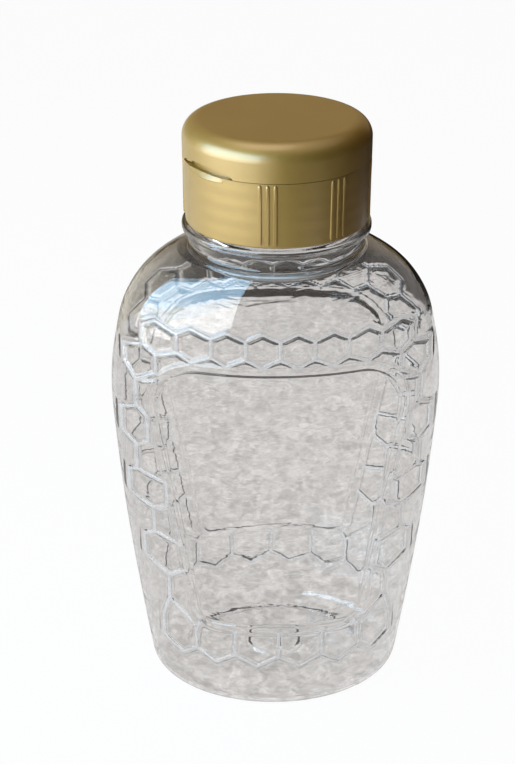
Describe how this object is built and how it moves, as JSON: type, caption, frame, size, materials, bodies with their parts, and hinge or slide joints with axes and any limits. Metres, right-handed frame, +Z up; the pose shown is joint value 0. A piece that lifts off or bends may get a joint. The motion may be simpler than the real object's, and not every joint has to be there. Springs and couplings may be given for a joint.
{
  "type": "squeeze bottle",
  "caption": "Oval clear squeeze bottle with honeycomb relief and label panels, closed by a metallic flip-top screw cap.",
  "frame": {"origin": "centre of the base, on the surface the bottle stands on", "axes": "+Z up along the bottle's axis, X along the wide side, -Y towards the front label panel"},
  "size_m": [0.0766, 0.0478, 0.141],
  "materials": {
    "clear_bottle": "clear blow-moulded PET, gloss",
    "gold_cap": "satin metallic gold pigmented polypropylene",
    "gold_lid": "satin metallic gold pigmented polypropylene",
    "gold_strap": "satin metallic gold pigmented polypropylene",
    "seal_foam": "white closed-cell foam"
  },
  "bodies": {
    "bottle": {"bottle": "clear_bottle"},
    "seal": {"seal_gasket": "seal_foam"},
    "cap": {"cap_body": "gold_cap"},
    "strap": {"hinge_strap": "gold_strap"},
    "lid": {"cap_lid": "gold_lid"}
  },
  "joints": [
    {"name": "cap_lift", "type": "slide", "parent": "bottle", "child": "seal", "axis": [0, 0, 1], "range_m": [0, 0.0051]},
    {"name": "cap_unscrew", "type": "hinge", "parent": "seal", "child": "cap", "pos_m": [0, 0, 0.125], "axis": [0, 0, 1], "range_deg": [0, 430]},
    {"name": "strap_fold", "type": "hinge", "parent": "cap", "child": "strap", "pos_m": [0.01709, 0.01288, 0.1311], "axis": [-0.6018, 0.7986, 0], "range_deg": [0, 75]},
    {"name": "lid_fold", "type": "hinge", "parent": "strap", "child": "lid", "pos_m": [0.01709, 0.01288, 0.1345], "axis": [-0.6018, 0.7986, 0], "range_deg": [0, 75]}
  ],
  "couplings": [
    {"joint": "cap_lift", "follows": "cap_unscrew", "m_per_rad": 0.00067322}
  ]
}
